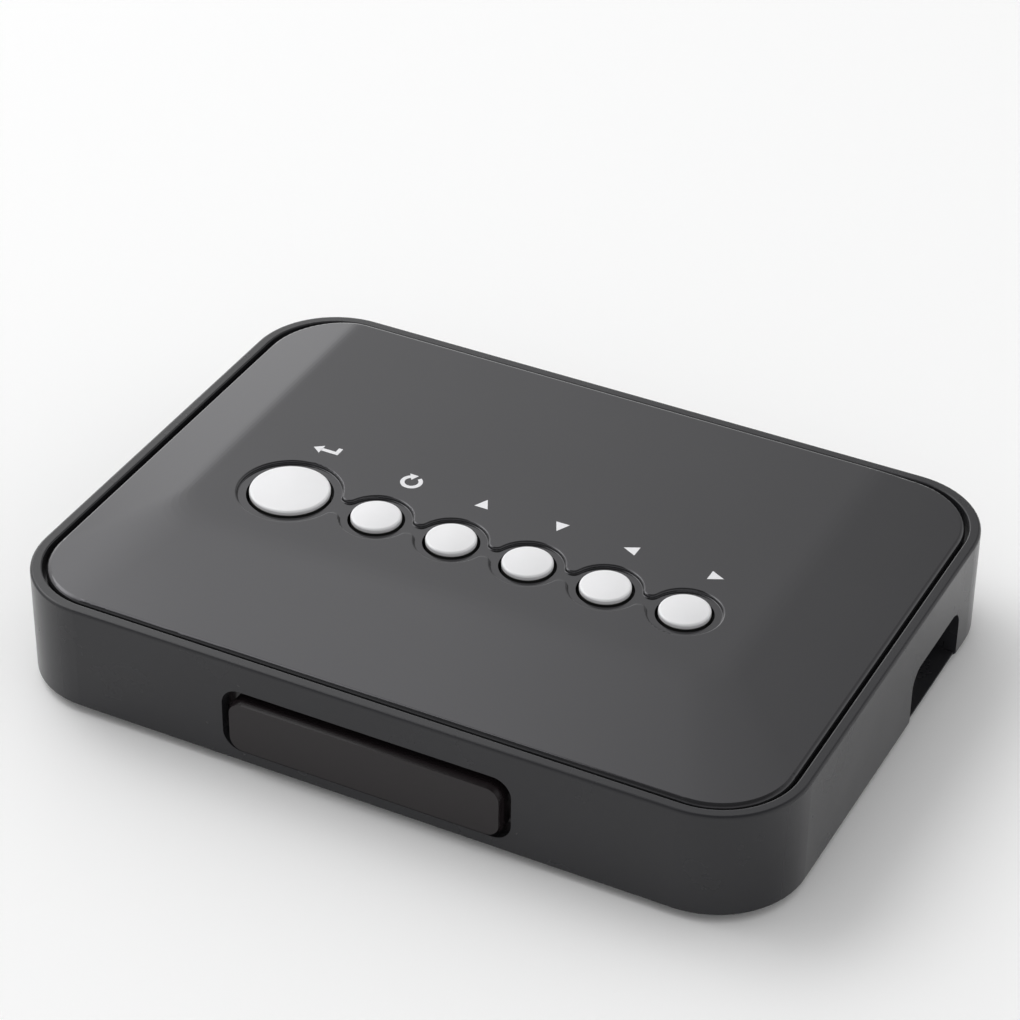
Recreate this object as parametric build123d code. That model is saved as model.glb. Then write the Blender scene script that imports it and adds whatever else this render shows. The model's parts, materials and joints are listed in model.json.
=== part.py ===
"""A small screwed media player: housing, crowned top panel, six push buttons, boards and sockets.

Millimetres. X runs along the long side, the front wall faces -Y and +Z is up.
The origin is on the table, under the middle of the case.
"""
from build123d import *
import math
import os

# Case
CASE_W = 124.7
CASE_D = 91.0
WALL_H = 17.75
CORNER_R = 14.0
WALL = 2.0
RIM_T = 1.8
FOOT_H = 1.2
RIM_EDGE_R = 0.5
RIM_INNER_R = 0.25
BASE_CHAMFER = 0.4
BITE = 0.5
HOLE_OVER = 0.2

# Top panel
GROOVE = 0.6
PANEL_T = 2.15
PANEL_DROP = 0.05
PANEL_EDGE_R = 0.8
CROWN_H = 0.8
PLATEAU_X = (-49.85, 42.15)
PLATEAU_FRONT = -17.95
PLATEAU_R = 6.0
CREASE = 0.12
COVER_GAP = 0.12
LEDGE_IN = 2.6
LEDGE_T = 1.4

# Buttons: one large cap, then five small ones at the pitch of the switches
BUTTON_Y = -4.85
LARGE_X = -35.4
SMALL_X = -20.35
PITCH = 12.83
BUTTON_NAMES = ["return", "cycle", "up", "down", "left", "right"]
LARGE_R = 6.25
SMALL_R = 3.9
CAP_GAP = 0.5
CAP_PROUD = 0.4
CAP_DOME = 0.2
CAP_EDGE_R = 0.35
CAP_ROOF = 1.2
CAP_WALL = 1.0
FLANGE_OVER = 1.25
FLANGE_T = 0.8
FLANGE_GAP = 0.05
COLLAR_T = 0.8
COLLAR_H = 1.6
TRAVEL = 0.4

# Recess round the buttons, like beads on a string
BEAD_OVER_LARGE = 1.85
BEAD_OVER_SMALL = 1.7
WAIST_R = 1.28
BEAD_DEPTH = 0.5
BEAD_EDGE_R = 0.33
BEAD_FLOOR_R = 0.15

# Tactile switches
SWITCH_W = 6.0
SWITCH_H = 3.5
SWITCH_TOTAL_H = 4.3
COVER_T = 0.15
SWITCH_CORNER = 0.5
SWITCH_FLOOR_T = 1.0
SWITCH_BORE_R = 2.6
PLUNGER_R = 1.75
PLUNGER_GAP = 0.25
COLLAR_OVER = 0.55
PLUNGER_COLLAR_T = 0.6
NUB_R = 0.9
STEM_L = 1.2
STEM_IN = 0.15
DOME_R = 2.2
DOME_H = 0.35
DOME_BALL_R = 9.0
SLACK = 0.1

# Boards
BOARD_T = 1.2
STANDOFF_H = 1.4
COVER_PLATE_T = 2.0
KEY_BOARD_HALF_D = 9.2
KEY_BOARD_OVER = (8.2, 7.2)
KEY_BOARD_R = 1.5

# Infrared window and its slot in the front wall, heights above the bottom of the case
SLOT_HALF_W = 23.45
SLOT_Z = (2.1, 12.9)
SLOT_R = 3.0
BAR_HALF_W = 22.2
BAR_Z = (2.55, 11.5)
BAR_R = 2.4
BAR_PROUD = 0.75
BAR_BEVEL = (0.35, 0.9)
BAR_FLANGE = 2.0
BAR_FLANGE_T = 1.2

# Notch in the right wall, for the plug of a storage stick
NOTCH_Y = (8.15, 27.25)
NOTCH_TOP = 9.05
NOTCH_R = 3.0
NOTCH_FLOOR_T = 0.7
RECESS_DEPTH = 4.5
SHROUD_T = 1.2

# Sockets: a storage stick's on the right, then display, sound and power at the rear
PLAY = 0.3
SHEET = 0.3
USB_W = 13.2
USB_H = 5.8
USB_L = 14.0
USB_LIFT = 0.4
USB_PROUD = 0.2
USB_TAB_HALF_W = 13.5
TONGUE_T = 1.8
TONGUE_GAP = 0.4
TONGUE_IN = 0.8
TONGUE_BACK = 3.0
CONTACT_T = 0.25
CONTACT_W = 1.0
CONTACTS = (-3.5, -1.0, 1.0, 3.5)
REAR_PROUD = 0.75
DISPLAY_X = 14.0
DISPLAY_W = 14.9
DISPLAY_H = 5.9
DISPLAY_L = 11.5
DISPLAY_CUT = 1.6
DISPLAY_TONGUE_W = 11.6
DISPLAY_HOLE_R = 0.8
AV_X = -14.0
AV_H = 5.8
AV_NOSE_R = 2.9
AV_BORE_R = 1.8
AV_SPRING_ROOM = 0.4
AV_W = 6.4
AV_L = 11.0
POWER_X = -38.0
NOSE_EDGE_R = 0.3
POWER_NOSE_R = 3.5
POWER_BORE_R = 2.0
POWER_PIN_R = 0.65
POWER_W = 8.0
POWER_L = 12.0
POWER_H = 7.2
POWER_AXIS_H = 3.6

# Fasteners, posts, feet and vents
BOSS_X = 54.8
BOSS_Y = 37.9
BOSS_R = 3.3
POST_R = 2.1
POST_L = 5.85
SCREW_R = 1.2
SCREW_L = 11.6
SCREW_HEAD_R = 2.1
SCREW_HEAD_H = 1.1
HEAD_SUNK = 1.2
HEAD_EDGE_R = 0.4
CROSS_DEPTH = 0.6
SCREW_CLEAR = 0.15
PILOT_CLEAR = 0.05
PILOT_SPARE = 0.5
STANDOFF_R = 2.8
BOARD_SCREW_R = 1.1
BOARD_HEAD_R = 2.2
BOARD_HEAD_H = 1.3
BOARD_SCREWS = [(-46, -37.5), (46, -37.5), (-46, 38.5), (46, 38.5)]
KEY_SCREW_R = 0.8
KEY_SCREW_L = 4.6
KEY_HEAD_R = 1.8
KEY_HEAD_H = 1.1
KEY_POST_R = 1.9
KEY_SCREW_X = -27.0
KEY_SCREW_DY = 6.6
FOOT_X = 44.0
FOOT_Y = 29.0
FOOT_R = 5.0
FOOT_SUNK = 0.4
VENT_ROWS = 9
VENT_PITCH = 3.6
VENT_X = 13.0
VENT_L = 20.0
VENT_W = 1.6
LABEL_W = 52.0
LABEL_D = 15.0
LABEL_Y = -27.5
LABEL_DEPTH = 0.2
LABEL_R = 1.0

# Main board and what stands on it
BOARD_X = (-50.0, 50.0)
BOARD_Y = (-41.5, 43.0)
PROCESSOR_AT = (-4.0, 20.0)
PROCESSOR_W = 17.0
PROCESSOR_H = 1.3
PAD_W = 15.0
PAD_H = 0.5
SINK_W = 24.0
SINK_H = 6.0
SINK_BASE = 1.5
SINK_GAP = 1.8
SINK_GAPS = 7
MEMORY = [(32, 12), (32, 24)]
FLASH = (-31, 14)
REGULATORS = [(-44, 24), (-44, 17), (-34, -22)]
INDUCTORS = [(-44, 8), (-26, -24), (-16, -24)]
CAPACITORS = [(-27, 38), (-27, 30), (29, 38), (37, 38)]
CAPACITOR_R = 3.1
CAPACITOR_H = 7.4
INDUCTOR_W = 6.4
INDUCTOR_H = 3.0
CRYSTAL = (-20.0, 14.0)
CRYSTAL_W = 4.6
CRYSTAL_D = 11.0
CRYSTAL_H = 3.4
SMALL_CHIP_H = 0.7
RECEIVER_X = -8.0
RECEIVER_W = 6.4
RECEIVER_H = 7.0
LENS_R = 2.4
LENS_H = 3.6
LIGHTS_X = (5.0, 11.0)
LIGHT_R = 1.5
LIGHT_H = 2.4
HOLDER_W = 4.4
HOLDER_H = 4.8

# Ribbon cable between the key board and the main board
RIBBON_X = 18.0
RIBBON_W = 7.0
RIBBON_T = 0.3
RIBBON_BEND_R = 2.5
RIBBON_RUN = 3.0
SOCKET_H = 1.9
KEY_SOCKET_Y = (0.2, 3.6)
MAIN_SOCKET_Y = (12.0, 15.4)

# Heights of the main levels
BASE_Z = FOOT_H
RIM_Z = BASE_Z + WALL_H
SEAT_Z = RIM_Z - PANEL_DROP - PANEL_T
EDGE_Z = RIM_Z - PANEL_DROP
PLATEAU_Z = EDGE_Z + CROWN_H
BEAD_Z = PLATEAU_Z - BEAD_DEPTH
COVER_TOP = BASE_Z + COVER_PLATE_T
BOARD_Z = COVER_TOP + STANDOFF_H
BOARD_TOP = BOARD_Z + BOARD_T
FLANGE_TOP = SEAT_Z - FLANGE_GAP
STEM_END = FLANGE_TOP - FLANGE_T - STEM_L
KEY_TOP = STEM_END - SWITCH_TOTAL_H
KEY_Z = KEY_TOP - BOARD_T
SWITCH_FLOOR = KEY_TOP + SWITCH_FLOOR_T
COVER_LOW = KEY_TOP + SWITCH_H - COVER_T
PANEL_INSET = RIM_T + GROOVE
FRONT_Y = -CASE_D / 2
REAR_Y = CASE_D / 2
RIGHT_X = CASE_W / 2
INNER_FRONT = FRONT_Y + WALL
INNER_REAR = REAR_Y - WALL
INNER_RIGHT = RIGHT_X - WALL
REAR_END = REAR_Y + REAR_PROUD
USB_Y = sum(NOTCH_Y) / 2
USB_LOW = COVER_TOP + USB_LIFT
USB_Z = (USB_LOW, USB_LOW + USB_H)
USB_END = RIGHT_X - RECESS_DEPTH + USB_PROUD
USB_START = USB_END - USB_L
TONGUE_LOW = USB_Z[1] - SHEET - TONGUE_GAP - TONGUE_T
TAB_END = RIGHT_X - RECESS_DEPTH - SHROUD_T - PLAY
AV_Z = BOARD_TOP + AV_H / 2
POWER_Z = BOARD_TOP + POWER_AXIS_H
JACK_END = INNER_REAR - HOLE_OVER
POST_Z = SEAT_Z - POST_L
HEAD_SEAT = BASE_Z + HEAD_SUNK
SCREW_TIP = HEAD_SEAT + SCREW_L
KEY_TIP = KEY_Z + KEY_SCREW_L
BOARD_TIP = BASE_Z + 0.9
CORNERS = [(x, y) for x in (-1, 1) for y in (-1, 1)]
BUTTONS = [(LARGE_X, LARGE_R)] + [(SMALL_X + PITCH * i, SMALL_R) for i in range(5)]
KEY_BOARD_X = (LARGE_X - KEY_BOARD_OVER[0], BUTTONS[-1][0] + KEY_BOARD_OVER[1])
KEY_SCREWS = [(x, BUTTON_Y + side * KEY_SCREW_DY)
              for x in (KEY_SCREW_X, SMALL_X + 3.5 * PITCH) for side in (-1, 1)]


def block(x, y, z):
    """A box between the low and high values given for each axis."""
    low = Vector(x[0], y[0], z[0])
    size = Vector(x[1], y[1], z[1]) - low
    return Pos(low) * Box(size.X, size.Y, size.Z, align=(Align.MIN, Align.MIN, Align.MIN))


def centred(x, y, width, depth, z):
    """A box round the point x, y, between two heights."""
    return block((x - width / 2, x + width / 2), (y - depth / 2, y + depth / 2), z)


def rod(x, y, z, radius):
    """An upright cylinder between two heights."""
    return Pos(x, y, z[0]) * Cylinder(radius, z[1] - z[0], align=(Align.CENTER, Align.CENTER, Align.MIN))


def rod_y(x, y, z, radius):
    """A cylinder along Y between two values of y."""
    disc = Plane((x, y[0], z), z_dir=(0, 1, 0)) * Circle(radius)
    return extrude(disc, y[1] - y[0])


def outline(inset, z):
    """The plan outline of the case, drawn in by inset."""
    shape = RectangleRounded(CASE_W - 2 * inset, CASE_D - 2 * inset, CORNER_R - inset)
    return Plane.XY.offset(z) * shape


def slab(inset, z):
    """The plan outline drawn in by inset, raised between two heights."""
    return extrude(outline(inset, z[0]), z[1] - z[0])


def wall_slot(x, z, radius, y):
    """A rounded slot that runs along Y, given by its x, z and y ranges."""
    centre = ((x[0] + x[1]) / 2, y[0], (z[0] + z[1]) / 2)
    plane = Plane(centre, x_dir=(-1, 0, 0), z_dir=(0, 1, 0))
    shape = RectangleRounded(x[1] - x[0], z[1] - z[0], radius)
    return extrude(plane * shape, y[1] - y[0])


def at_height(shape, z):
    """The edges of a shape that lie wholly at one height."""
    return shape.edges().filter_by_position(Axis.Z, z - 0.001, z + 0.001)


def on_outline(shape, inset):
    """The edges of a shape that lie over the case's outline drawn in by inset, without the upright ones."""
    def lies_over(edge):
        middle = edge @ 0.5
        return outline(inset, middle.Z).wire().distance_to(middle) < 0.01

    return [e for e in shape.edges() if abs((e % 0.5).Z) < 0.9 and lies_over(e)]


def joined(pieces):
    """Several shapes as one part; shapes that don't touch stay separate solids."""
    return Part() + list(pieces)


def save(name, shape):
    export_step(shape, f"parts/{name}.step")


def cross_recess(x, y, z, up, head_r):
    """The driver slots of a screw whose head face is at z, cut towards up (1 or -1)."""
    span = (z, z + CROSS_DEPTH) if up > 0 else (z - CROSS_DEPTH, z)
    size = 0.55 * head_r
    arm = size / 5
    return block((x - size, x + size), (y - arm, y + arm), span) + block(
        (x - arm, x + arm), (y - size, y + size), span
    )


# Housing, bottom cover and top panel

def notch(depth, over, z_low):
    """The space of the notch in the right wall, depth inwards and grown by over."""
    y = (NOTCH_Y[0] - over, NOTCH_Y[1] + over)
    top = BASE_Z + NOTCH_TOP + over
    space = block((RIGHT_X - depth, RIGHT_X + 1), y, (z_low, top))
    corners = space.edges().filter_by(Axis.X).group_by(Axis.Z)[-1]
    return fillet(corners, NOTCH_R + over)


def upper_housing():
    body = slab(0, (BASE_Z, RIM_Z))
    body = fillet(at_height(body, RIM_Z), RIM_EDGE_R)
    body = chamfer(at_height(body, BASE_Z), BASE_CHAMFER)
    body -= slab(WALL, (BASE_Z - 1, RIM_Z + 1))
    body -= slab(RIM_T, (SEAT_Z, RIM_Z + 1))
    inner_rim = [e for e in on_outline(body, RIM_T) if (e @ 0.5).Z > SEAT_Z + 1]
    body = fillet(inner_rim, RIM_INNER_R)
    ledge_z = (SEAT_Z - LEDGE_T, SEAT_Z)
    body += slab(WALL - BITE, ledge_z) - slab(WALL + LEDGE_IN, (ledge_z[0] - 1, SEAT_Z + 1))
    envelope = slab(WALL - BITE, (COVER_TOP, SEAT_Z))
    body += notch(RECESS_DEPTH + SHROUD_T, SHROUD_T, COVER_TOP) & envelope
    body -= notch(RECESS_DEPTH, 0, BASE_Z - 1)
    mouth_y = (USB_Y - USB_W / 2 - PLAY, USB_Y + USB_W / 2 + PLAY)
    mouth_z = (USB_Z[0] - PLAY, USB_Z[1] + PLAY)
    body -= block((RIGHT_X - 2 * RECESS_DEPTH, RIGHT_X), mouth_y, mouth_z)
    for sx, sy in CORNERS:
        x, y = sx * BOSS_X, sy * BOSS_Y
        body += rod(x, y, (COVER_TOP, SEAT_Z), BOSS_R) & envelope
        body -= rod(x, y, (COVER_TOP - 1, SEAT_Z), SCREW_R + SCREW_CLEAR)
        body -= rod(x, y, (POST_Z - PLAY, SEAT_Z + 1), POST_R + PLAY / 2)
    slot_z = (BASE_Z + SLOT_Z[0], BASE_Z + SLOT_Z[1])
    front = (FRONT_Y - 1, INNER_FRONT + HOLE_OVER)
    body -= wall_slot((-SLOT_HALF_W, SLOT_HALF_W), slot_z, SLOT_R, front)
    rear = (INNER_REAR - HOLE_OVER, REAR_Y + 1)
    display_x = (DISPLAY_X - DISPLAY_W / 2 - PLAY, DISPLAY_X + DISPLAY_W / 2 + PLAY)
    display_z = (BOARD_TOP - PLAY, BOARD_TOP + DISPLAY_H + PLAY)
    body -= wall_slot(display_x, display_z, DISPLAY_HOLE_R, rear)
    body -= rod_y(AV_X, rear, AV_Z, AV_NOSE_R + PLAY)
    body -= rod_y(POWER_X, rear, POWER_Z, POWER_NOSE_R + PLAY)
    return body


def bottom_cover():
    body = slab(WALL + COVER_GAP, (BASE_Z, COVER_TOP))
    tongue_y = (NOTCH_Y[0] + PLAY, NOTCH_Y[1] - PLAY)
    tongue = block((INNER_RIGHT - 1, RIGHT_X - PLAY), tongue_y, (BASE_Z, BASE_Z + NOTCH_FLOOR_T))
    body += chamfer(at_height(tongue, BASE_Z).sort_by(Axis.X)[-1], BASE_CHAMFER)
    floor = (BASE_Z + NOTCH_FLOOR_T, COVER_TOP + 1)
    body -= block((RIGHT_X - RECESS_DEPTH, RIGHT_X), NOTCH_Y, floor)
    for sx, sy in CORNERS:
        x, y = sx * BOSS_X, sy * BOSS_Y
        body -= rod(x, y, (BASE_Z - 1, COVER_TOP + 1), SCREW_R + SCREW_CLEAR)
        body -= rod(x, y, (BASE_Z - 1, HEAD_SEAT), SCREW_HEAD_R + PLAY)
        body -= rod(sx * FOOT_X, sy * FOOT_Y, (BASE_Z - 1, BASE_Z + FOOT_SUNK), FOOT_R + SLACK)
    for x, y in BOARD_SCREWS:
        body += rod(x, y, (COVER_TOP - BITE, BOARD_Z), STANDOFF_R)
        body -= rod(x, y, (BOARD_TIP - 2 * SLACK, BOARD_Z + 1), BOARD_SCREW_R + PILOT_CLEAR)
    below = Plane.XY.offset(BASE_Z - 1)
    label = RectangleRounded(LABEL_W, LABEL_D, LABEL_R)
    body -= extrude(below * Pos(0, LABEL_Y) * label, LABEL_DEPTH + 1)
    vent = SlotOverall(VENT_L, VENT_W)
    for row in range(VENT_ROWS):
        y = (row - (VENT_ROWS - 1) / 2) * VENT_PITCH
        for x in (-VENT_X, VENT_X):
            body -= extrude(below * Pos(x, y) * vent, COVER_PLATE_T + 2)
    return body


def crown_section(share, height):
    """The panel's outline, moved by share of the way towards the plateau and run on past the back."""
    half_w, half_d = CASE_W / 2 - PANEL_INSET, CASE_D / 2 - PANEL_INSET
    x = [a + (b - a) * share for a, b in zip((-half_w, half_w), PLATEAU_X)]
    y = [-half_d + (PLATEAU_FRONT + half_d) * share, half_d + 2 * CORNER_R]
    radius = (CORNER_R - PANEL_INSET) * (1 - share) + PLATEAU_R * share
    shape = RectangleRounded(x[1] - x[0], y[1] - y[0], radius)
    return Plane.XY.offset(height) * Pos((x[0] + x[1]) / 2, (y[0] + y[1]) / 2) * shape


def crown_height(share):
    """A straight rise that eases into the plateau on both sides of the crease."""
    over = max(0.0, share - (1 - CREASE))
    return CROWN_H * (share - over * over / (4 * CREASE))


def waist(x, r, next_x, next_r):
    """The neck between two beads, narrowed by two arcs that touch both of them."""
    gap = next_x - x
    along = (gap ** 2 + (r - next_r) * (r + next_r + 2 * WAIST_R)) / (2 * gap)
    across = math.sqrt((r + WAIST_R) ** 2 - along ** 2)
    near, far = r / (r + WAIST_R), next_r / (next_r + WAIST_R)
    left, right = along * near, gap - (gap - along) * far
    corners = [(left, -across * near), (right, -across * far), (right, across * far), (left, across * near)]
    shape = make_face(Polyline(*corners, close=True))
    shape -= Pos(along, across) * Circle(WAIST_R)
    shape -= Pos(along, -across) * Circle(WAIST_R)
    return Pos(x, BUTTON_Y) * shape


def beads():
    """The recess round the buttons, from its floor up."""
    sizes = [(x, r + (BEAD_OVER_LARGE if r == LARGE_R else BEAD_OVER_SMALL)) for x, r in BUTTONS]
    shape = Sketch() + [Pos(x, BUTTON_Y) * Circle(r) for x, r in sizes]
    shape += [waist(*one, *other) for one, other in zip(sizes, sizes[1:])]
    return extrude(Plane.XY.offset(BEAD_Z) * shape, BEAD_DEPTH + 1)


def top_panel():
    """The crowned panel. It falls away to the front and the sides and stays high along the back."""
    body = slab(PANEL_INSET, (SEAT_Z, EDGE_Z))
    shares = [0.0] + [1 + CREASE * k for k in (-1, -0.5, 0, 0.5, 1)]
    crown = loft([crown_section(s, EDGE_Z + crown_height(s)) for s in shares], ruled=True)
    body += crown & slab(PANEL_INSET, (EDGE_Z - BITE, PLATEAU_Z + 1))
    edge = [e for e in on_outline(body, PANEL_INSET) if (e @ 0.5).Z > SEAT_Z + 1]
    body = fillet(edge, PANEL_EDGE_R)
    body -= beads()
    body = fillet(at_height(body, BEAD_Z), BEAD_FLOOR_R)
    reach = LARGE_R + BEAD_OVER_LARGE + 0.1
    bead_rim = [e for e in at_height(body, PLATEAU_Z) if abs(e.center().Y - BUTTON_Y) < reach]
    body = fillet(bead_rim, BEAD_EDGE_R)
    for x, radius in BUTTONS:
        flange = radius + FLANGE_OVER
        collar = rod(x, BUTTON_Y, (SEAT_Z - COLLAR_H, SEAT_Z + 0.1), flange + PLAY + COLLAR_T)
        body += collar - rod(x, BUTTON_Y, (SEAT_Z - COLLAR_H - 1, SEAT_Z), flange + PLAY)
        body -= rod(x, BUTTON_Y, (SEAT_Z - 1, PLATEAU_Z + 1), radius + CAP_GAP)
    for sx, sy in CORNERS:
        x, y = sx * BOSS_X, sy * BOSS_Y
        body += rod(x, y, (POST_Z, SEAT_Z + 0.1), POST_R)
        body -= rod(x, y, (POST_Z - 1, SCREW_TIP + PILOT_SPARE), SCREW_R + PILOT_CLEAR)
    for x, y in KEY_SCREWS:
        body += rod(x, y, (KEY_TOP, SEAT_Z + 0.1), KEY_POST_R)
        body -= rod(x, y, (KEY_TOP - 1, KEY_TIP + PILOT_SPARE), KEY_SCREW_R + PILOT_CLEAR)
    return body


def ir_window():
    """The smoked bar that shows through the slot, on a flange inside the wall."""
    half = SLOT_HALF_W + BAR_FLANGE
    height = (COVER_TOP + SLACK, SEAT_Z - LEDGE_T - SLACK)
    flange = block((-half, half), (INNER_FRONT, INNER_FRONT + BAR_FLANGE_T), height)
    bar_z = (BASE_Z + BAR_Z[0], BASE_Z + BAR_Z[1])
    front = FRONT_Y - BAR_PROUD
    bar = wall_slot((-BAR_HALF_W, BAR_HALF_W), bar_z, BAR_R, (front, INNER_FRONT + BITE))
    face = bar.faces().sort_by(Axis.Y)[0]
    bar = chamfer(face.edges(), *BAR_BEVEL, reference=face)
    return flange + bar


def rubber_feet():
    feet = []
    for sx, sy in CORNERS:
        foot = rod(sx * FOOT_X, sy * FOOT_Y, (0, BASE_Z + FOOT_SUNK), FOOT_R)
        feet.append(fillet(at_height(foot, 0), FOOT_SUNK))
    return joined(feet)


# Buttons and their switches

def button_cap(x, radius):
    """A domed cap with a flange that stops under the panel, hollow round its stem."""
    edge_z = PLATEAU_Z + CAP_PROUD
    flange_z = FLANGE_TOP - FLANGE_T
    head = rod(x, BUTTON_Y, (flange_z, edge_z), radius)
    sphere_r = (radius ** 2 + CAP_DOME ** 2) / (2 * CAP_DOME)
    ball = Pos(x, BUTTON_Y, edge_z + CAP_DOME - sphere_r) * Sphere(sphere_r)
    head += rod(x, BUTTON_Y, (edge_z, edge_z + CAP_DOME + 1), radius) & ball
    head = fillet(at_height(head, edge_z), CAP_EDGE_R)
    head += rod(x, BUTTON_Y, (flange_z, FLANGE_TOP), radius + FLANGE_OVER)
    hollow = rod(x, BUTTON_Y, (flange_z - 1, edge_z - CAP_ROOF), radius - CAP_WALL)
    stem = rod(x, BUTTON_Y, (STEM_END, edge_z - CAP_ROOF + SLACK), PLUNGER_R - STEM_IN)
    return head - hollow + stem


def switch_plunger(x):
    """The moving pin of a switch; its nub clears the pressed dome by the travel and a little more."""
    collar_z = (COVER_LOW - SLACK / 2 - PLUNGER_COLLAR_T, COVER_LOW - SLACK / 2)
    shaft = rod(x, BUTTON_Y, (collar_z[0], STEM_END), PLUNGER_R)
    collar = rod(x, BUTTON_Y, collar_z, PLUNGER_R + COLLAR_OVER)
    nub = rod(x, BUTTON_Y, (SWITCH_FLOOR + DOME_H + TRAVEL + SLACK, collar_z[0] + SLACK), NUB_R)
    return shaft + collar + nub


def switch_base(x):
    body = centred(x, BUTTON_Y, SWITCH_W, SWITCH_W, (KEY_TOP, COVER_LOW))
    body = chamfer(body.edges().filter_by(Axis.Z), SWITCH_CORNER)
    return body - rod(x, BUTTON_Y, (SWITCH_FLOOR, COVER_LOW + 1), SWITCH_BORE_R)


def switch_cover(x):
    width = SWITCH_W - 2 * SLACK
    plate = centred(x, BUTTON_Y, width, width, (COVER_LOW, COVER_LOW + COVER_T))
    return plate - rod(x, BUTTON_Y, (COVER_LOW - 1, COVER_LOW + 1), PLUNGER_R + PLUNGER_GAP)


def switch_dome(x):
    """A snap dome in its pressed shape, on the floor of the switch."""
    disc = rod(x, BUTTON_Y, (SWITCH_FLOOR, SWITCH_FLOOR + DOME_H), DOME_R)
    ball = Pos(x, BUTTON_Y, SWITCH_FLOOR + DOME_H - DOME_BALL_R) * Sphere(DOME_BALL_R)
    return disc & ball


# Fasteners

def case_screw(x, y):
    """A pan head screw from below, its head sunk in the cover."""
    low = HEAD_SEAT - SCREW_HEAD_H
    head = rod(x, y, (low, HEAD_SEAT), SCREW_HEAD_R)
    head = fillet(at_height(head, low), HEAD_EDGE_R)
    head -= cross_recess(x, y, low, 1, SCREW_HEAD_R)
    return head + rod(x, y, (HEAD_SEAT, SCREW_TIP), SCREW_R)


def board_screw(x, y):
    top = BOARD_TOP + BOARD_HEAD_H
    head = rod(x, y, (BOARD_TOP, top), BOARD_HEAD_R)
    head = fillet(at_height(head, top), HEAD_EDGE_R)
    head -= cross_recess(x, y, top, -1, BOARD_HEAD_R)
    return head + rod(x, y, (BOARD_TIP, BOARD_TOP), BOARD_SCREW_R)


def key_board_screw(x, y):
    low = KEY_Z - KEY_HEAD_H
    head = rod(x, y, (low, KEY_Z), KEY_HEAD_R)
    head -= cross_recess(x, y, low, 1, KEY_HEAD_R)
    return head + rod(x, y, (KEY_Z, KEY_TIP), KEY_SCREW_R)


# Boards and what is on them

def main_board():
    level = (BOARD_Z, BOARD_TOP)
    body = block(BOARD_X, BOARD_Y, level)
    body += block((BOARD_X[1] - 1, TAB_END), (USB_Y - USB_TAB_HALF_W, USB_Y + USB_TAB_HALF_W), level)
    seat = (USB_Y - USB_W / 2 - PLAY, USB_Y + USB_W / 2 + PLAY)
    body -= block((USB_START - PLAY, TAB_END + 1), seat, (BOARD_Z - 1, BOARD_TOP + 1))
    for x, y in BOARD_SCREWS:
        body -= rod(x, y, (BOARD_Z - 1, BOARD_TOP + 1), BOARD_SCREW_R + SCREW_CLEAR)
    return body


def key_board():
    y = (BUTTON_Y - KEY_BOARD_HALF_D, BUTTON_Y + KEY_BOARD_HALF_D)
    body = block(KEY_BOARD_X, y, (KEY_Z, KEY_TOP))
    body = fillet(body.edges().filter_by(Axis.Z), KEY_BOARD_R)
    for x, y in KEY_SCREWS:
        body -= rod(x, y, (KEY_Z - 1, KEY_TOP + 1), KEY_SCREW_R + SCREW_CLEAR)
    return body


def chip(x, y, width, depth, height):
    """A moulded chip on the main board, centred on x and y."""
    body = centred(x, y, width, depth, (BOARD_TOP, BOARD_TOP + height))
    return chamfer(at_height(body, BOARD_TOP + height), min(0.3, height / 3))


def thermal_pad():
    z = BOARD_TOP + PROCESSOR_H
    return centred(*PROCESSOR_AT, PAD_W, PAD_W, (z, z + PAD_H))


def heat_sink():
    x, y = PROCESSOR_AT
    z = BOARD_TOP + PROCESSOR_H + PAD_H
    body = centred(x, y, SINK_W, SINK_W, (z, z + SINK_H))
    step = SINK_W / (SINK_GAPS + 0.3)
    for i in range(SINK_GAPS):
        middle = x + (i - (SINK_GAPS - 1) / 2) * step
        body -= centred(middle, y, SINK_GAP, SINK_W + 2, (z + SINK_BASE, z + SINK_H + 1))
    return body


def small_chips():
    """Rows of chip capacitors in front of the processor, beside it and behind the front wall."""
    pitch = 2.6
    upright = [(-14 + pitch * i, 4.5) for i in range(8)]
    level = [(11.5, 9 + pitch * i) for i in range(9)] + [(-40 + pitch * i, -30) for i in range(8)]
    made = [chip(x, y, 1.25, 2.0, SMALL_CHIP_H) for x, y in upright]
    made += [chip(x, y, 1.25, 1.2, SMALL_CHIP_H) for x, y in level]
    return joined(made)


def capacitor(x, y):
    """An electrolytic capacitor on its square base, with the groove round its can."""
    width = 2 * CAPACITOR_R + 0.4
    foot = chip(x, y, width, width, 1.0)
    top = BOARD_TOP + CAPACITOR_H
    can = rod(x, y, (BOARD_TOP + 1.0 - SLACK, top), CAPACITOR_R)
    can = fillet(at_height(can, top), HEAD_EDGE_R)
    groove = (BOARD_TOP + 1.7, BOARD_TOP + 2.3)
    return foot + can - (rod(x, y, groove, CAPACITOR_R + 1) - rod(x, y, groove, CAPACITOR_R - 0.25))


def inductor(x, y):
    top = BOARD_TOP + INDUCTOR_H
    body = centred(x, y, INDUCTOR_W, INDUCTOR_W, (BOARD_TOP, top))
    body = fillet(body.edges().filter_by(Axis.Z), 1.2)
    return chamfer(at_height(body, top), 0.3)


def crystal():
    top = BOARD_TOP + CRYSTAL_H
    body = centred(*CRYSTAL, CRYSTAL_W, CRYSTAL_D, (BOARD_TOP, top))
    body = fillet(body.edges().filter_by(Axis.Z), CRYSTAL_W / 2 - SLACK)
    return fillet(at_height(body, top), 0.3)


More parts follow.
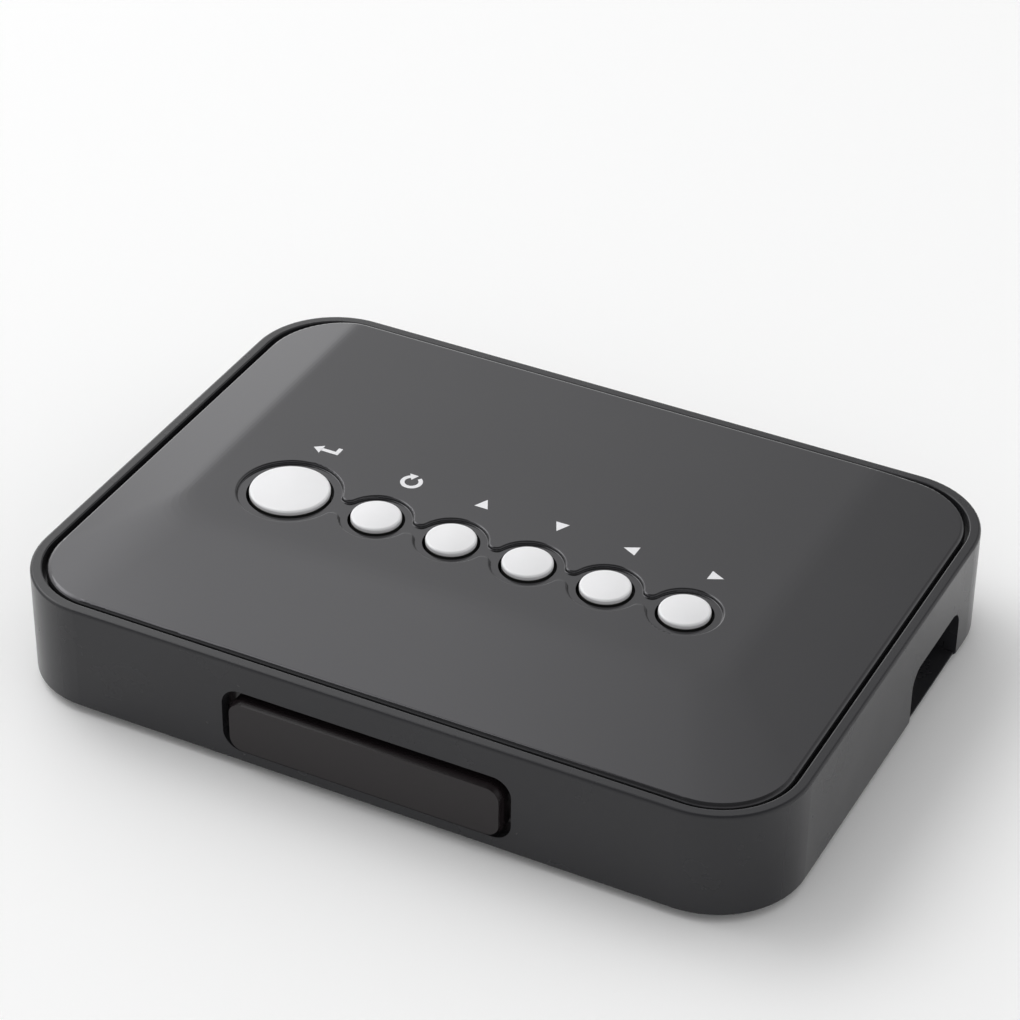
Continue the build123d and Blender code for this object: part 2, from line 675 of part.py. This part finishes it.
def usb_shell():
    """The metal tube of the socket, with two ears that lie on the board."""
    half = USB_W / 2
    body = block((USB_START, USB_END), (USB_Y - half, USB_Y + half), USB_Z)
    body = fillet(body.edges().filter_by(Axis.X), 0.5)
    inner = block((USB_START - 1, USB_END + 1), (USB_Y - half + SHEET, USB_Y + half - SHEET),
                  (USB_Z[0] + SHEET, USB_Z[1] - SHEET))
    ears = centred(USB_START + 5.5, USB_Y, 5.0, USB_W + 2.8, (BOARD_TOP, BOARD_TOP + SHEET))
    return body + ears - inner


def usb_tongue():
    half = USB_W / 2 - SHEET
    inside = (USB_Z[0] + SHEET, USB_Z[1] - SHEET)
    back = block((USB_START, USB_START + TONGUE_BACK), (USB_Y - half, USB_Y + half), inside)
    half -= TONGUE_IN
    bar = block((USB_START, USB_END - TONGUE_IN), (USB_Y - half, USB_Y + half),
                (TONGUE_LOW, TONGUE_LOW + TONGUE_T))
    return back + bar


def usb_contacts():
    """Four contact strips under the tongue."""
    x = (USB_START + TONGUE_BACK, USB_END - TONGUE_IN - CONTACT_W)
    z = (TONGUE_LOW - CONTACT_T, TONGUE_LOW)
    half = CONTACT_W / 2
    return joined(block(x, (USB_Y + y - half, USB_Y + y + half), z) for y in CONTACTS)


def display_profile(inset):
    """The mouth of the display socket: a slab with two corners cut off below."""
    half = DISPLAY_W / 2 - inset
    low, high = BOARD_TOP + inset, BOARD_TOP + DISPLAY_H - inset
    side, foot = low + DISPLAY_CUT, half - DISPLAY_CUT
    points = [(-half, high), (half, high), (half, side), (foot, low), (-foot, low), (-half, side)]
    return make_face(Polyline(*[(x + DISPLAY_X, 0, z) for x, z in points], close=True))


def display_run(inset, y):
    face = Pos(0, y[1], 0) * display_profile(inset)
    return extrude(face, y[1] - y[0], dir=(0, -1, 0))


def display_shell():
    y = (REAR_END - DISPLAY_L, REAR_END)
    return display_run(0, y) - display_run(SHEET, (y[0] - 1, y[1] + 1))


def display_tongue():
    y = (REAR_END - DISPLAY_L, REAR_END)
    back = display_run(SHEET, (y[0], y[0] + TONGUE_BACK))
    half = DISPLAY_TONGUE_W / 2
    z = BOARD_TOP + DISPLAY_H / 2 + TONGUE_GAP
    bar = block((DISPLAY_X - half, DISPLAY_X + half), (y[0], y[1] - TONGUE_IN), (z - 0.7, z + 0.7))
    return back + bar


def av_jack_body():
    y = (JACK_END - AV_L, JACK_END)
    body = block((AV_X - AV_W / 2, AV_X + AV_W / 2), y, (BOARD_TOP, BOARD_TOP + AV_H))
    return body - rod_y(AV_X, (y[0] + WALL, y[1] + 1), AV_Z, AV_BORE_R + AV_SPRING_ROOM)


def av_jack_bush():
    y = (JACK_END, REAR_END - SLACK)
    bush = rod_y(AV_X, y, AV_Z, AV_NOSE_R)
    bush = fillet(bush.faces().sort_by(Axis.Y)[-1].edges(), NOSE_EDGE_R)
    return bush - rod_y(AV_X, (y[0] - 1, y[1] + 1), AV_Z, AV_BORE_R)


def power_jack_body():
    y = (JACK_END - POWER_L, JACK_END)
    body = block((POWER_X - POWER_W / 2, POWER_X + POWER_W / 2), y, (BOARD_TOP, BOARD_TOP + POWER_H))
    body += rod_y(POWER_X, (y[1] - BITE, REAR_END - 2 * SLACK), POWER_Z, POWER_NOSE_R)
    body -= rod_y(POWER_X, (y[0] + WALL, REAR_END + 1), POWER_Z, POWER_BORE_R)
    return body


def power_jack_pin():
    pin = rod_y(POWER_X, (JACK_END - POWER_L + WALL, REAR_END - TONGUE_IN), POWER_Z, POWER_PIN_R)
    return fillet(pin.faces().sort_by(Axis.Y)[-1].edges(), NOSE_EDGE_R)


def ir_receiver():
    """The sensor's moulded block with the round lens on its front."""
    front = INNER_FRONT + BAR_FLANGE_T + LENS_R
    body = centred(RECEIVER_X, front + 1.5, RECEIVER_W, 3.0, (BOARD_TOP, BOARD_TOP + RECEIVER_H))
    ball = Pos(RECEIVER_X, front + BITE, BOARD_TOP + LENS_H) * Sphere(LENS_R)
    return body + (ball & centred(RECEIVER_X, front, RECEIVER_W, 2 * LENS_R, (0, RIM_Z)))


def status_lights():
    """Two round ended lamps, each in a square holder."""
    lights = []
    z = BOARD_TOP + LIGHT_H
    front = INNER_FRONT + BAR_FLANGE_T + 2 * LIGHT_R
    for x in LIGHTS_X:
        holder = centred(x, front + 3.5, HOLDER_W, 3.0, (BOARD_TOP, BOARD_TOP + HOLDER_H))
        barrel = rod_y(x, (front, front + 3), z, LIGHT_R)
        tip = Pos(x, front, z) * Sphere(LIGHT_R)
        lights.append(holder + barrel + tip)
    return joined(lights)


# Ribbon cable from the key board down to the main board

def ribbon_sockets():
    x = (RIBBON_X - RIBBON_W / 2 - 1, RIBBON_X + RIBBON_W / 2 + 1)
    upper = block(x, KEY_SOCKET_Y, (KEY_Z - SOCKET_H, KEY_Z))
    lower = block(x, MAIN_SOCKET_Y, (BOARD_TOP, BOARD_TOP + SOCKET_H))
    return joined([upper, lower])


def ribbon_cable():
    """A flat cable that leaves one socket level, steps down and enters the other level."""
    start, end = KEY_SOCKET_Y[1], MAIN_SOCKET_Y[0]
    high, low = KEY_Z - SOCKET_H / 2, BOARD_TOP + SOCKET_H / 2
    route = [(start, high), (start + RIBBON_RUN, high), (end - RIBBON_RUN, low), (end, low)]
    path = FilletPolyline(*[(RIBBON_X, y, z) for y, z in route], radius=RIBBON_BEND_R)
    section = Plane((RIBBON_X, start, high), x_dir=(1, 0, 0), z_dir=(0, 1, 0))
    return sweep(section * Rectangle(RIBBON_W, RIBBON_T), path=path)


def main():
    os.makedirs("parts", exist_ok=True)
    save("upper_housing", upper_housing())
    save("bottom_cover", bottom_cover())
    save("top_panel", top_panel())
    save("ir_window", ir_window())
    save("rubber_feet", rubber_feet())
    save("case_screws", joined(case_screw(sx * BOSS_X, sy * BOSS_Y) for sx, sy in CORNERS))
    save("board_screws", joined(board_screw(x, y) for x, y in BOARD_SCREWS))
    save("key_board_screws", joined(key_board_screw(x, y) for x, y in KEY_SCREWS))
    save("main_board", main_board())
    save("key_board", key_board())
    save("switch_bases", joined(switch_base(x) for x, _ in BUTTONS))
    save("switch_covers", joined(switch_cover(x) for x, _ in BUTTONS))
    save("switch_domes", joined(switch_dome(x) for x, _ in BUTTONS))
    for name, (x, radius) in zip(BUTTON_NAMES, BUTTONS):
        save(f"{name}_button", button_cap(x, radius))
        save(f"{name}_plunger", switch_plunger(x))
    save("processor", chip(*PROCESSOR_AT, PROCESSOR_W, PROCESSOR_W, PROCESSOR_H))
    save("thermal_pad", thermal_pad())
    save("heat_sink", heat_sink())
    save("memory_chips", joined(chip(x, y, 13, 8, 1.0) for x, y in MEMORY))
    save("flash_chip", chip(*FLASH, 12, 18, 1.0))
    save("regulators", joined(chip(x, y, 6.5, 3.6, 1.6) for x, y in REGULATORS))
    save("inductors", joined(inductor(x, y) for x, y in INDUCTORS))
    save("capacitors", joined(capacitor(x, y) for x, y in CAPACITORS))
    save("crystal", crystal())
    save("small_chips", small_chips())
    save("usb_shell", usb_shell())
    save("usb_tongue", usb_tongue())
    save("usb_contacts", usb_contacts())
    save("display_shell", display_shell())
    save("display_tongue", display_tongue())
    save("av_jack_body", av_jack_body())
    save("av_jack_bush", av_jack_bush())
    save("power_jack_body", power_jack_body())
    save("power_jack_pin", power_jack_pin())
    save("ir_receiver", ir_receiver())
    save("status_lights", status_lights())
    save("ribbon_sockets", ribbon_sockets())
    save("ribbon_cable", ribbon_cable())


main()
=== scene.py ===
"""Looks of the media player: finishes, printed symbols, floor, lights and camera."""
import json
import math
import bpy
import bmesh
from mathutils import Matrix, Vector


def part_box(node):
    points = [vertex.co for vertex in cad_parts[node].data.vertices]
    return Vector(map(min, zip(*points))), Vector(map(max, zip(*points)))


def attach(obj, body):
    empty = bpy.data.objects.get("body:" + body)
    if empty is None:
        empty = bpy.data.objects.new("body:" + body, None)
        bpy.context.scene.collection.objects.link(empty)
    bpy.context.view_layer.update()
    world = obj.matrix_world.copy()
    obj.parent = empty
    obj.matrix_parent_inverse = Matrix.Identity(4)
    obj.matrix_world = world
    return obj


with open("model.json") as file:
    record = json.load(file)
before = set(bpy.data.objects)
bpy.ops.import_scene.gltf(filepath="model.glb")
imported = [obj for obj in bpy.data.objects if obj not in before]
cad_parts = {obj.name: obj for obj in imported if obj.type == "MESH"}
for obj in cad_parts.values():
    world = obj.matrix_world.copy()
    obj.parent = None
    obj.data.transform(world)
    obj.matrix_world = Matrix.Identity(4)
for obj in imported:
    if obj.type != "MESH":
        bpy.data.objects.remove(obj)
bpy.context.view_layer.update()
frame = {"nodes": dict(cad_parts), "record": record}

MM = 0.001
nodes = frame["nodes"]

# Camera, at the photograph's viewing angle. Lens and sensor are in millimetres, and what it sees starts
# NEAREST metres away
CAMERA_AT = Vector((186.09, -370.48, 313.28)) * MM
AZIMUTH = math.radians(26.689)
ELEVATION = math.radians(34.847)
ROLL = math.radians(0.697)
LENS = 119.47
SENSOR = 36
NEAREST = 0.01

# Prints on the panel, one over each button, in millimetres
PRINT_T = 0.02
PRINT_SUNK = 0.01
PRINT_AT = {
    "return_symbol": (-35.6, 7.3),
    "cycle_symbol": (-20.1, 5.9),
    "up_symbol": (-7.5, 5.55),
    "down_symbol": (5.4, 6.1),
    "left_symbol": (17.7, 5.5),
    "right_symbol": (31.25, 5.1),
}
TRIANGLE_BASE = 2.25
TRIANGLE_H = 2.25

# Heights between which the silver on a cap gives way to a painted shade on its sides, in millimetres
CAP_PAINTED_SHADE_TOP = (19.3, 19.45)

# Colours
DARK = (0.016, 0.016, 0.0168)
DARK_GLOSS = (0.96, 0.95, 1.0)
HOUSING = (0.022, 0.022, 0.0245)
SMOKED = (0.014, 0.011, 0.012)
SILVER = (0.775, 0.775, 0.785)
# Painted shade on the caps' sides, dark where they would lie in shade
CAP_SIDE_PAINTED_SHADE = (0.02, 0.02, 0.02)
WHITE = (1, 1, 1)

# Noise in the finishes: how many of its waves fit into a metre, for slow tone changes, for uneven gloss
# and for the grain, and the middle values between which most of it lies
CLOUDS = 45.0
SMEARS = 120.0
GRAINS = 6000.0
MIDDLE = (0.3, 0.7)

# How each finish differs from a plain moulded one. The grain is in millimetres
FINISHES = {
    "housing_plastic": dict(colour=HOUSING, roughness=0.26, grain=0.0012, ior=1.4),
    "panel_plastic": dict(colour=DARK, roughness=0.10, grain=0.0006, ior=1.6, tint=DARK_GLOSS),
    "smoked_window": dict(colour=SMOKED, roughness=0.14, grain=0.001, ior=1.4),
    "silver_caps": dict(colour=SILVER, roughness=0.42, grain=0.002, metallic=0.15),
    "foot_rubber": dict(colour=(0.02, 0.02, 0.02), roughness=0.75, grain=0.01),
    "screw_steel": dict(colour=(0.35, 0.35, 0.36), roughness=0.35, metallic=1.0),
    "board_green": dict(colour=(0.01, 0.12, 0.04), roughness=0.3),
    "black_resin": dict(colour=(0.015, 0.015, 0.016), roughness=0.5, grain=0.01),
    "pad_rubber": dict(colour=(0.35, 0.38, 0.45), roughness=0.8, grain=0.01),
    "sink_aluminium": dict(colour=(0.8, 0.8, 0.82), roughness=0.35, metallic=1.0),
    "ferrite": dict(colour=(0.06, 0.06, 0.065), roughness=0.7, grain=0.01),
    "can_aluminium": dict(colour=(0.82, 0.82, 0.84), roughness=0.25, metallic=1.0),
    "chip_ceramic": dict(colour=(0.5, 0.38, 0.24), roughness=0.6),
    "plated_steel": dict(colour=(0.7, 0.69, 0.66), roughness=0.25, metallic=1.0),
    "plated_brass": dict(colour=(0.75, 0.68, 0.55), roughness=0.22, metallic=1.0),
    "white_insulator": dict(colour=(0.75, 0.75, 0.72), roughness=0.45),
    "receiver_resin": dict(colour=(0.02, 0.01, 0.01), roughness=0.15),
    "light_resin": dict(colour=(0.5, 0.04, 0.03), roughness=0.2),
    "ribbon_film": dict(colour=(0.75, 0.76, 0.78), roughness=0.4),
    "print_ink": dict(colour=(0.8, 0.8, 0.82), roughness=0.4, grain=0.002),
}

# Floor, in metres, with its tone as a source of light and as the camera and gloss see it
FLOOR_HALF = 3.0
FLOOR_TONE = 0.79
FLOOR_SEEN = 0.97

# Key lamp: where it stands, in degrees and metres, how large it is, and its power in watts
KEY_AZIMUTH = 80
KEY_ELEVATION = 52
KEY_DISTANCE = 1.2
KEY_SIDE = 0.7
KEY_POWER = 3.2

# World: the elevations between which the walls end, in degrees, and the strength of the fill above them
WALL_TOP = (45, 60)
LOW_WALL_TOP = (20, 45)
OVERHEAD = 0.6


def add_camera():
    flat = math.cos(ELEVATION)
    back = Vector((math.sin(AZIMUTH) * flat, -math.cos(AZIMUTH) * flat, math.sin(ELEVATION)))
    side = (-back).cross(Vector((0, 0, 1))).normalized()
    up = side.cross(-back)
    turned_side = side * math.cos(ROLL) + up * math.sin(ROLL)
    turned_up = up * math.cos(ROLL) - side * math.sin(ROLL)
    camera = bpy.data.objects.new("camera", bpy.data.cameras.new("camera"))
    bpy.context.scene.collection.objects.link(camera)
    camera.data.lens = LENS
    camera.data.sensor_width = SENSOR
    camera.data.clip_start = NEAREST
    turn = Matrix((turned_side, turned_up, back)).transposed()
    camera.matrix_world = Matrix.Translation(CAMERA_AT) @ turn.to_4x4()
    bpy.context.scene.camera = camera


# Materials

# A mix node's two inputs and its result, for numbers and for colours
MIX_SOCKETS = {"FLOAT": (2, 3, 0), "RGBA": (6, 7, 2)}


class Nodes:
    """Short helpers that add nodes to a node tree."""

    def __init__(self, tree):
        self.tree = tree

    def node(self, kind, **values):
        made = self.tree.nodes.new(kind)
        for name, value in values.items():
            if name in made.inputs:
                made.inputs[name].default_value = value
            else:
                setattr(made, name, value)
        return made

    def link(self, source, target):
        self.tree.links.new(source, target)

    def feed(self, target, value):
        """Puts a number or a colour into a socket, or links another socket to it."""
        if isinstance(value, bpy.types.NodeSocket):
            self.link(value, target)
        elif isinstance(value, tuple):
            target.default_value = (*value, 1)
        else:
            target.default_value = value

    def maths(self, operation, first, second=0.0):
        made = self.node("ShaderNodeMath", operation=operation)
        self.feed(made.inputs[0], first)
        self.feed(made.inputs[1], second)
        return made.outputs[0]

    def mixed(self, kind, factor, first, second):
        """The first value where the factor is 0, the second where it is 1, and a mix between."""
        made = self.node("ShaderNodeMix", data_type=kind)
        first_socket, second_socket, result = MIX_SOCKETS[kind]
        self.feed(made.inputs["Factor"], factor)
        self.feed(made.inputs[first_socket], first)
        self.feed(made.inputs[second_socket], second)
        return made.outputs[result]

    def total(self, first, *others):
        for value in others:
            first = self.maths("ADD", first, value)
        return first

    def product(self, first, *others):
        for value in others:
            first = self.maths("MULTIPLY", first, value)
        return first

    def span(self, source, start, end, low=0.0, high=1.0, smooth=False):
        """The source's values from start to end, spread over low to high and held beyond them."""
        made = self.node("ShaderNodeMapRange")
        if smooth:
            made.interpolation_type = "SMOOTHSTEP"
        for name, value in (("From Min", start), ("From Max", end), ("To Min", low), ("To Max", high)):
            made.inputs[name].default_value = value
        self.link(source, made.inputs["Value"])
        return made.outputs["Result"]


class Finish(Nodes):
    """A material with its shader."""

    def __init__(self, name, roughness, ior=1.46, metallic=0.0, tint=WHITE):
        self.material = bpy.data.materials.new(name)
        self.material.use_nodes = True
        super().__init__(self.material.node_tree)
        self.shader = self.tree.nodes["Principled BSDF"]
        self.set("Roughness", roughness)
        self.set("Metallic", metallic)
        self.set("IOR", ior)
        self.set("Specular Tint", tint)
        self.place = self.node("ShaderNodeTexCoord").outputs["Object"]

    def set(self, socket, value):
        self.feed(self.shader.inputs[socket], value)

    def noise(self, scale, detail):
        """Noise in the part's own frame."""
        made = self.node("ShaderNodeTexNoise", Scale=scale, Detail=detail, Roughness=0.55)
        self.link(self.place, made.inputs["Vector"])
        return made.outputs["Fac"]

    def height(self):
        """The height in the part's own frame, in metres."""
        parts = self.node("ShaderNodeSeparateXYZ")
        self.link(self.place, parts.inputs[0])
        return parts.outputs["Z"]

    def bump(self, height, distance):
        made = self.node("ShaderNodeBump", Distance=distance)
        self.link(height, made.inputs["Height"])
        self.set("Normal", made.outputs["Normal"])


def shade(colour, factor):
    return tuple(c * factor for c in colour)


def moulded(name, colour, roughness, grain=0.004, **more):
    """A moulded surface: slow tone changes, uneven gloss and a fine grain."""
    made = Finish(name, roughness, **more)
    cloud = made.span(made.noise(CLOUDS, detail=4.0), *MIDDLE)
    made.set("Base Color", made.mixed("RGBA", cloud, shade(colour, 0.95), shade(colour, 1.05)))
    smear = made.span(made.noise(SMEARS, detail=5.0), *MIDDLE, roughness * 0.92, roughness * 1.1)
    made.set("Roughness", smear)
    made.bump(made.noise(GRAINS, detail=2.0), grain * MM)
    return made


def paint_shade_on_cap_sides(caps):
    """Paints shade on the caps' sides, below their silver top."""
    silver_over_shade = caps.span(caps.height(), CAP_PAINTED_SHADE_TOP[0] * MM, CAP_PAINTED_SHADE_TOP[1] * MM)
    silver = caps.shader.inputs["Base Color"].links[0].from_socket
    caps.set("Base Color", caps.mixed("RGBA", silver_over_shade, CAP_SIDE_PAINTED_SHADE, silver))


def make_finishes():
    finishes = {name: moulded(name, **look) for name, look in FINISHES.items()}
    # Painted shade on the caps' sides below the silver
    paint_shade_on_cap_sides(finishes["silver_caps"])
    return finishes


def dress_nodes(finishes):
    for part in frame["record"]["subparts"]:
        mesh = nodes[part["node"]].data
        mesh.materials.clear()
        mesh.materials.append(finishes[part["material_slot"]].material)


# Prints

def triangle(turn):
    """A triangle on its middle, pointing along +Y and then turned by some degrees."""
    half = TRIANGLE_BASE / 2
    low = -TRIANGLE_H / 3
    corners = [(-half, low), (half, low), (0, low + TRIANGLE_H)]
    c, s = math.cos(math.radians(turn)), math.sin(math.radians(turn))
    return [[(x * c - y * s, x * s + y * c) for x, y in corners]]


def return_arrow():
    """An arrow to the left whose tail turns up at its right end. Its three outlines overlap a little."""
    tip, neck, end = -2.55, -1.1, 1.85
    half, barb, hook = 0.35, 1.05, 1.45
    left, low = neck - 0.05, half - 0.01
    head = [(tip, 0), (neck, -barb), (neck, barb)]
    shaft = [(left, -half), (end, -half), (end, half), (left, half)]
    tail = [(end - 2 * half, low), (end, low), (end, hook), (end - 2 * half, hook)]
    return [head, shaft, tail]


def cycle_arrow():
    """An open ring that ends in an arrow head."""
    inner, outer = 1.08, 1.76
    start, swept, steps = 58, 295, 40
    barb, tip = 0.85, 1.25
    angles = [math.radians(start - swept * i / steps) for i in range(steps + 1)]
    ring = [(outer * math.cos(a), outer * math.sin(a)) for a in angles]
    ring += [(inner * math.cos(a), inner * math.sin(a)) for a in reversed(angles)]
    end = angles[-1]
    along = Vector((math.sin(end), -math.cos(end)))
    out = Vector((math.cos(end), math.sin(end)))
    base = out * (inner + outer) / 2
    head = [base + out * barb, base + along * tip, base - out * barb]
    return [ring, [tuple(p) for p in head]]


def add_print(name, outlines, ink):
    """Thin closed slabs of ink on the panel, one for each outline."""
    x0, y0 = PRINT_AT[name]
    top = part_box("top_panel")[1][2]
    low, high = top - PRINT_SUNK * MM, top + PRINT_T * MM
    made = bmesh.new()
    for outline in outlines:
        lower = [made.verts.new(((x0 + x) * MM, (y0 + y) * MM, low)) for x, y in outline]
        base = made.faces.new(lower)
        lifted = bmesh.ops.extrude_face_region(made, geom=[base])["geom"]
        for vert in lifted:
            if isinstance(vert, bmesh.types.BMVert):
                vert.co.z = high
    bmesh.ops.recalc_face_normals(made, faces=made.faces)
    mesh = bpy.data.meshes.new(name)
    made.to_mesh(mesh)
    made.free()
    mesh.materials.append(ink.material)
    piece = bpy.data.objects.new(name, mesh)
    bpy.context.scene.collection.objects.link(piece)
    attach(piece, "case")


def add_prints(ink):
    add_print("return_symbol", return_arrow(), ink)
    add_print("cycle_symbol", cycle_arrow(), ink)
    for name, turn in (("up_symbol", 0), ("down_symbol", 180), ("left_symbol", 90), ("right_symbol", -90)):
        add_print(name, triangle(turn), ink)


# Surroundings

def add_floor():
    mesh = bpy.data.meshes.new("floor")
    made = bmesh.new()
    bmesh.ops.create_grid(made, x_segments=1, y_segments=1, size=FLOOR_HALF)
    made.to_mesh(mesh)
    made.free()
    floor = bpy.data.objects.new("floor", mesh)
    bpy.context.scene.collection.objects.link(floor)
    paint = Finish("floor_paint", roughness=0.9)
    rays = paint.node("ShaderNodeLightPath").outputs
    seen = paint.total(rays["Is Camera Ray"], rays["Is Glossy Ray"], rays["Is Transmission Ray"])
    paint.set("Base Color", paint.mixed("RGBA", seen, (FLOOR_TONE,) * 3, (FLOOR_SEEN,) * 3))
    mesh.materials.append(paint.material)


def sky_level(made, turn, rise):
    """Light by direction: azimuth in degrees from +Y towards -X, and elevation.

    A wide pale wall stands behind, brighter to the left, where its foot is dimmer. Low ones stand on
    the right and in front.
    """
    # The wall behind rises in two steps from its right end. A bright stripe on it leans to the left, and
    # the wall is a little brighter above, on the left, and near the floor
    lean = made.total(turn, made.product(rise, -0.4), 12.0)
    steps = made.total(made.span(turn, 10, 21.5, 0.1, 0.52), made.span(turn, 21.5, 34, 0.0, 0.4))
    stripe = made.total(made.span(lean, 31.5, 36, 0.0, 0.75), made.span(lean, 38.8, 41, 0.0, -0.4))
    above = made.product(made.span(rise, 34.5, 39, 0.0, 0.35), made.span(turn, 22, 30, 0.1, 1.0))
    low = made.product(made.span(rise, 15, 30, 0.6, 0.0), made.span(turn, 10, 20))
    foot = made.product(made.span(turn, 50, 70), made.span(rise, 12, 30, -0.8, 0.0))
    back = made.product(
        made.total(steps, stripe, above, low),
        made.total(foot, 1.0),
        made.span(turn, 105, 135, 1.0, 0.0, smooth=True),
        made.span(rise, *WALL_TOP, 1.0, 0.0, smooth=True),
    )
    right = made.product(
        made.span(turn, -5, -25),
        made.span(turn, -120, -95),
        made.span(rise, *LOW_WALL_TOP, 0.6, 0.0, smooth=True),
    )
    front = made.product(
        made.span(made.maths("ABSOLUTE", turn), 100, 130),
        made.span(rise, *LOW_WALL_TOP, 0.45, 0.0, smooth=True),
    )
    around = made.span(rise, *WALL_TOP, 0.3, 0.1)
    return made.total(back, right, front, around)


def add_world():
    """The studio's walls, and an overhead fill that gloss doesn't show."""
    world = bpy.data.worlds.new("world")
    bpy.context.scene.world = world
    world.use_nodes = True
    made = Nodes(world.node_tree)
    background = world.node_tree.nodes["Background"]
    parts = made.node("ShaderNodeSeparateXYZ")
    made.link(made.node("ShaderNodeTexCoord").outputs["Generated"], parts.inputs[0])
    x, y, z = parts.outputs
    turn = made.maths("DEGREES", made.maths("ARCTAN2", made.product(x, -1.0), y))
    rise = made.maths("DEGREES", made.maths("ARCSINE", z))
    rays = made.node("ShaderNodeLightPath").outputs
    soft = made.maths("SUBTRACT", 1.0, rays["Is Glossy Ray"])
    overhead = made.product(made.span(rise, *WALL_TOP, 0.0, OVERHEAD), soft)
    level = made.total(sky_level(made, turn, rise), overhead)
    seen = made.total(rays["Is Camera Ray"], rays["Is Transmission Ray"])
    made.feed(background.inputs["Strength"], made.mixed("FLOAT", seen, level, 1.0))
    made.feed(background.inputs["Color"], WHITE)


def add_key_lamp():
    """A square softbox aimed at the object."""
    a, e = math.radians(KEY_AZIMUTH), math.radians(KEY_ELEVATION)
    away = Vector((-math.sin(a) * math.cos(e), math.cos(a) * math.cos(e), math.sin(e)))
    lamp = bpy.data.objects.new("key", bpy.data.lights.new("key", "AREA"))
    lamp.data.shape = "SQUARE"
    lamp.data.size = KEY_SIDE
    lamp.data.energy = KEY_POWER
    bpy.context.scene.collection.objects.link(lamp)
    lamp.location = away * KEY_DISTANCE
    lamp.rotation_mode = "QUATERNION"
    lamp.rotation_quaternion = away.to_track_quat("Z", "Y")


def main():
    add_camera()
    finishes = make_finishes()
    dress_nodes(finishes)
    add_prints(finishes["print_ink"])
    add_floor()
    add_world()
    add_key_lamp()
    bpy.context.scene.view_settings.view_transform = "Standard"


main()
